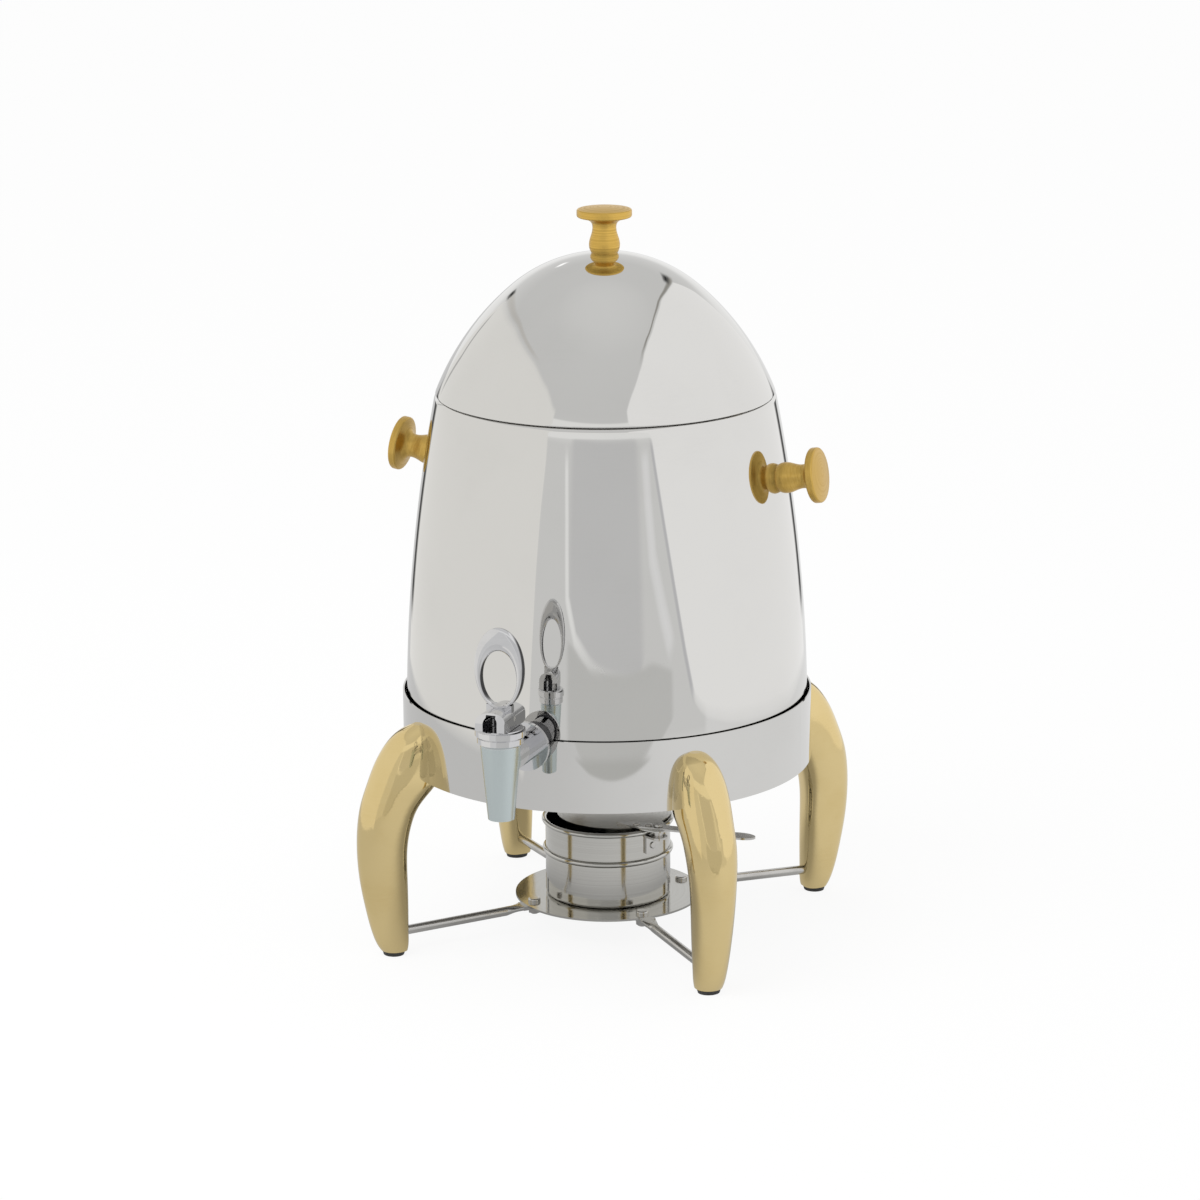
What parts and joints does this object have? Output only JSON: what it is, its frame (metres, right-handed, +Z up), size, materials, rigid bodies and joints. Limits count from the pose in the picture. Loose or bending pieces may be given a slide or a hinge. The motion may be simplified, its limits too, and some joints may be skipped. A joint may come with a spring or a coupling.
{
  "type": "coffee urn",
  "caption": "Domed steel coffee urn with a lift-off lid, side knobs and a lever tap, standing in a banded, legged stand over a fuel-can burner.",
  "frame": {"origin": "centre of the whole object's footprint on the table, at table height; the urn's upright axis is 40.24 mm behind it, at Y = +40.24 mm", "axes": "+Z up along the urn's axis, -Y towards the tap, +X to the right as one faces the tap"},
  "size_m": [0.3382, 0.3854, 0.5467],
  "materials": {
    "polished_steel": "mirror-polished stainless steel",
    "plain_steel": "plain stainless steel",
    "plated_legs": "pale gold plate on a casting",
    "gold_knobs": "satin gold-plated brass",
    "tap_chrome": "chromed brass",
    "silicone": "matt silicone",
    "black_rubber": "matt black rubber"
  },
  "bodies": {
    "stand": {"stand_ring": "polished_steel", "urn_ledge": "plain_steel", "leg_front_right": "plated_legs", "leg_front_left": "plated_legs", "leg_back_left": "plated_legs", "leg_back_right": "plated_legs", "leg_screws": "plain_steel", "leg_washers": "plain_steel", "foot_pad_front_right": "black_rubber", "foot_pad_front_left": "black_rubber", "foot_pad_back_left": "black_rubber", "foot_pad_back_right": "black_rubber", "brace_rod_front_right": "plain_steel", "brace_rod_front_left": "plain_steel", "brace_rod_back_left": "plain_steel", "brace_rod_back_right": "plain_steel", "burner_plate": "plain_steel", "brace_screws": "plain_steel", "brace_nuts": "plain_steel", "burner_cup": "plain_steel", "cup_rivets": "plain_steel", "damper_bracket": "plain_steel", "bracket_rivet": "plain_steel", "damper_post": "plain_steel", "damper_bush": "plain_steel"},
    "damper": {"damper_disc": "plain_steel", "damper_lever": "plain_steel", "lever_rivets": "plain_steel"},
    "urn": {"vessel_wall": "polished_steel", "vessel_floor": "plain_steel", "vessel_rim": "plain_steel", "handle_right": "gold_knobs", "handle_left": "gold_knobs", "handle_screws": "plain_steel", "handle_washers": "silicone", "tap_body": "tap_chrome", "tap_outer_gasket": "silicone", "tap_inner_gasket": "silicone", "tap_washer": "plain_steel", "tap_nut": "plain_steel", "tap_bonnet": "tap_chrome", "tap_spring": "plain_steel"},
    "valve": {"tap_stem": "plain_steel", "tap_seat_cup": "silicone"},
    "tap_lever": {"tap_lever": "tap_chrome", "tap_lever_pin": "plain_steel"},
    "lid": {"lid_dome": "polished_steel", "lid_band": "plain_steel", "lid_knob": "gold_knobs", "lid_knob_screw": "plain_steel", "lid_knob_washer": "silicone"}
  },
  "joints": [
    {"name": "damper_swing", "type": "hinge", "parent": "stand", "child": "damper", "pos_m": [0.04898, 0.01634, 0.0846], "axis": [0, 0, 1], "range_deg": [-110, 6.5]},
    {"name": "urn_lift", "type": "slide", "parent": "stand", "child": "urn", "axis": [0, 0, 1], "range_m": [0, 0.12]},
    {"name": "lid_lift", "type": "slide", "parent": "urn", "child": "lid", "axis": [0, 0, 1], "range_m": [0, 0.15]},
    {"name": "stem_slide", "type": "slide", "parent": "urn", "child": "valve", "axis": [0, 0, 1], "range_m": [0, 0.00524], "deforming": ["tap_spring"]},
    {"name": "lever_tilt", "type": "hinge", "parent": "valve", "child": "tap_lever", "pos_m": [0, -0.17276, 0.2195], "axis": [1, 0, 0], "range_deg": [0, 20], "stiffness_Nm_per_rad": 0.12, "springref_deg": -28.65}
  ],
  "couplings": [
    {"joint": "stem_slide", "follows": "lever_tilt", "m_per_rad": 0.015}
  ]
}
